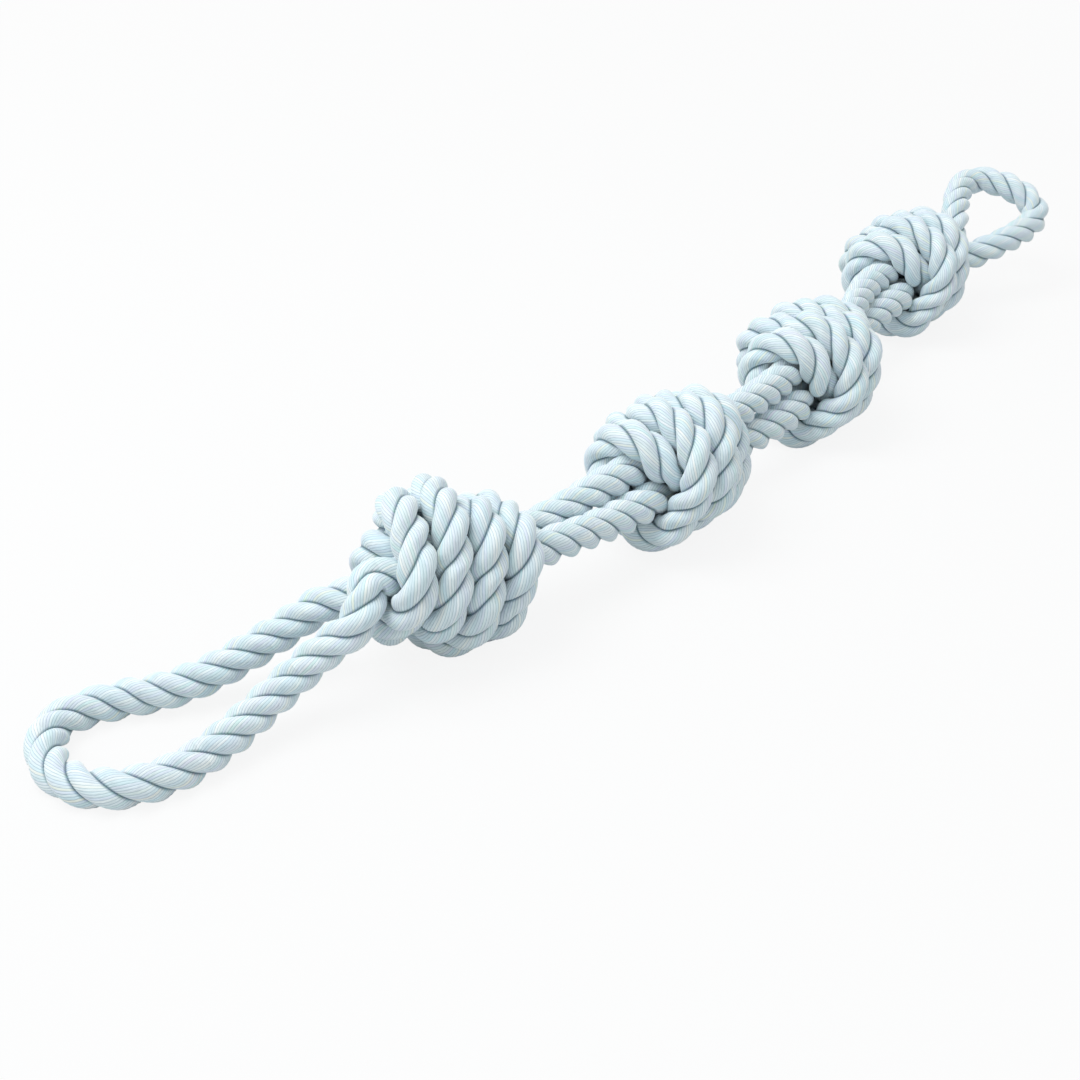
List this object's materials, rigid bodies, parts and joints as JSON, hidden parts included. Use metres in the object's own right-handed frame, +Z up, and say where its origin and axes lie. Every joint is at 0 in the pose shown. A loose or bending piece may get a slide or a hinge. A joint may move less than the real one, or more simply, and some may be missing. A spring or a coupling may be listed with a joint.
{
  "type": "rope dog toy",
  "caption": "Tug toy for dogs: a thick cotton rope laid double and tied in a row of bulky knots, with a long hand loop at the near end and a short loop at the far end.",
  "frame": {"origin": "middle of the bounding box in X and Y, on the floor the toy lies on", "axes": "+X from the hand loop along the row of knots to the far loop, +Z up from the floor, +Y across"},
  "size_m": [0.765, 0.1332, 0.0805],
  "materials": {
    "cotton_rope": "soft matt cotton yarn, pale blue mixed with off-white"
  },
  "bodies": {
    "knot_2": {"knot_2_rope_a": "cotton_rope", "knot_2_rope_b": "cotton_rope"},
    "span_12": {"span_12_leg_a": "cotton_rope", "span_12_leg_b": "cotton_rope"},
    "knot_1": {"knot_1_rope_a": "cotton_rope", "knot_1_rope_b": "cotton_rope"},
    "near_legs": {"near_loop_leg_a": "cotton_rope", "near_loop_leg_b": "cotton_rope"},
    "near_bight": {"near_loop_bight": "cotton_rope"},
    "span_23": {"span_23_leg_a": "cotton_rope", "span_23_leg_b": "cotton_rope"},
    "knot_3": {"knot_3_rope_a": "cotton_rope", "knot_3_rope_b": "cotton_rope"},
    "span_34": {"span_34_leg_a": "cotton_rope", "span_34_leg_b": "cotton_rope"},
    "knot_4": {"knot_4_rope_a": "cotton_rope", "knot_4_rope_b": "cotton_rope"},
    "far_loop": {"far_loop": "cotton_rope"}
  },
  "joints": [
    {"name": "span_12_lift", "type": "hinge", "parent": "knot_2", "child": "span_12", "pos_m": [-0.1006, -0.0288, 0.0381], "axis": [0.1044, 0.9945, 0], "range_deg": [-30, 30], "deforming": ["span_12_leg_a", "span_12_leg_b"]},
    {"name": "span_12_swing", "type": "hinge", "parent": "span_12", "child": "knot_1", "pos_m": [-0.1341, -0.0253, 0.038], "axis": [0, 0, 1], "range_deg": [-30, 30], "deforming": ["span_12_leg_a", "span_12_leg_b"]},
    {"name": "near_loop_swing", "type": "hinge", "parent": "knot_1", "child": "near_legs", "pos_m": [-0.2406, -0.003, 0.0407], "axis": [0, 0, 1], "range_deg": [-35, 35], "deforming": ["near_loop_leg_a", "near_loop_leg_b"]},
    {"name": "near_loop_lift", "type": "hinge", "parent": "near_legs", "child": "near_bight", "pos_m": [-0.3035, 0.0125, 0.012], "axis": [0.2393, 0.9709, 0], "range_deg": [-35, 100], "deforming": ["near_loop_leg_a", "near_loop_leg_b", "near_loop_bight"]},
    {"name": "span_23_lift", "type": "hinge", "parent": "knot_2", "child": "span_23", "pos_m": [0.0138, -0.024, 0.0338], "axis": [0.0078, -1, 0], "range_deg": [-28, 28], "deforming": ["span_23_leg_a", "span_23_leg_b"]},
    {"name": "span_23_swing", "type": "hinge", "parent": "span_23", "child": "knot_3", "pos_m": [0.0437, -0.0238, 0.0345], "axis": [0, 0, 1], "range_deg": [-28, 28], "deforming": ["span_23_leg_a", "span_23_leg_b"]},
    {"name": "span_34_lift", "type": "hinge", "parent": "knot_3", "child": "span_34", "pos_m": [0.1578, 0.0006, 0.034], "axis": [0.1947, -0.9809, 0], "range_deg": [-32, 32], "deforming": ["span_34_leg_a", "span_34_leg_b"]},
    {"name": "span_34_swing", "type": "hinge", "parent": "span_34", "child": "knot_4", "pos_m": [0.1948, 0.008, 0.0361], "axis": [0, 0, 1], "range_deg": [-32, 32], "deforming": ["span_34_leg_a", "span_34_leg_b"]},
    {"name": "far_loop_swing", "type": "hinge", "parent": "knot_4", "child": "far_loop", "pos_m": [0.3068, 0.0283, 0.036], "axis": [0, 0, 1], "range_deg": [-40, 40], "deforming": ["far_loop"]}
  ]
}
